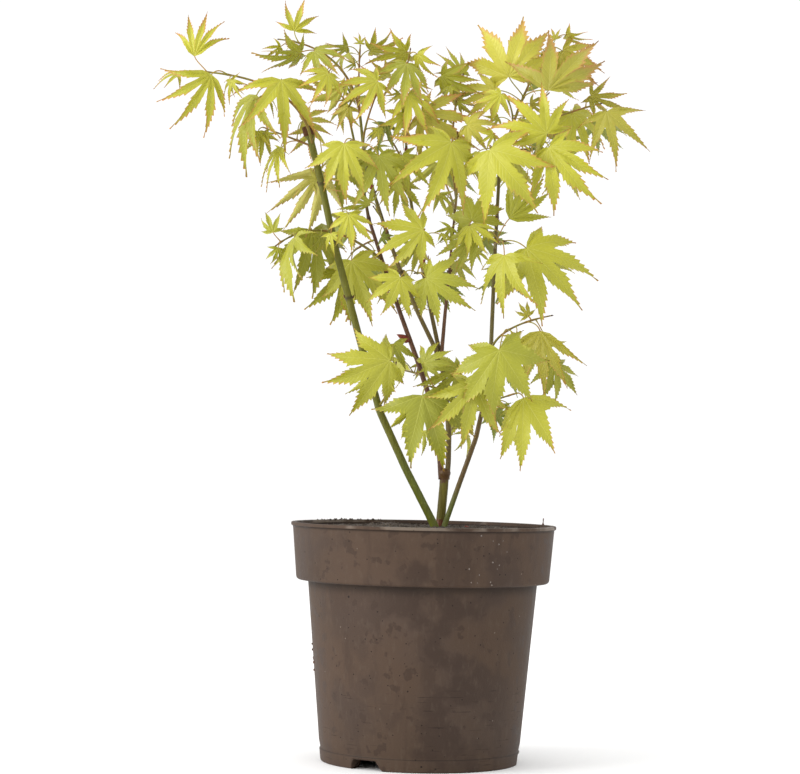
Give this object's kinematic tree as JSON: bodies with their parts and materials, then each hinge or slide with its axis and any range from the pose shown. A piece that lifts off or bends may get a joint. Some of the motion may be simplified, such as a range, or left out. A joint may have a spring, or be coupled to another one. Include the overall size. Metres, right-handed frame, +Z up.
{
  "type": "potted_japanese_maple",
  "caption": "Young potted japanese maple with an open crown of lime-green palmate leaves on thin stems, standing in a round taupe plastic nursery pot.",
  "frame": {"origin": "centre of the pot's flat underside, on the ground", "axes": "+Z up, +X to the right and -Y towards somebody facing the plant"},
  "size_m": [0.3532, 0.1907, 0.5412],
  "materials": {
    "pot_plastic": "satin",
    "soil": "rough",
    "cane_bark": "satin",
    "bark": "matte",
    "foliage_lime": "satin",
    "foliage_green": "satin",
    "foliage_deep": "satin",
    "foliage_gold": "satin",
    "foliage_bronze": "satin"
  },
  "bodies": {
    "root": {"pot": "pot_plastic", "soil": "soil", "left_cane": "cane_bark", "trunk": "bark", "right_stem": "bark", "bough_left": "bark", "bough_middle": "bark", "leader_front": "bark", "leader_centre": "bark", "leader_back": "bark", "spray_far_left": "foliage_lime", "spray_left_small": "foliage_lime", "spray_top_left": "foliage_lime", "spray_top_middle": "foliage_green", "spray_upper_left": "foliage_lime", "spray_upper_front": "foliage_lime", "spray_behind_cane": "foliage_gold", "spray_left_middle": "foliage_green", "spray_left_behind": "foliage_green", "spray_cane_front": "foliage_lime", "spray_centre_front": "foliage_deep", "spray_centre_left": "foliage_lime", "spray_centre": "foliage_lime", "spray_centre_right": "foliage_green", "spray_crown_centre": "foliage_lime", "spray_crown_front": "foliage_gold", "spray_crown_right": "foliage_green", "spray_upper_centre": "foliage_lime", "spray_inner": "foliage_green", "spray_right_centre": "foliage_lime", "spray_right_small": "foliage_lime", "spray_top_right": "foliage_gold", "spray_far_right": "foliage_bronze", "spray_right_front": "foliage_lime", "spray_right_middle": "foliage_lime", "spray_right_lower": "foliage_gold", "spray_low_right": "foliage_lime", "spray_low_centre": "foliage_green", "spray_low_left": "foliage_lime", "back_top_left": "foliage_green", "back_upper_left": "foliage_green", "back_left": "foliage_green", "back_left_low": "foliage_green", "back_left_lower": "foliage_green", "back_low_left": "foliage_green", "back_low": "foliage_green", "back_centre": "foliage_green", "back_right_centre": "foliage_green", "back_upper_centre": "foliage_green", "back_right_upper": "foliage_green", "back_right": "foliage_deep", "back_top_right": "foliage_green", "back_right_middle": "foliage_green", "back_right_low": "foliage_green"}
  },
  "joints": []
}
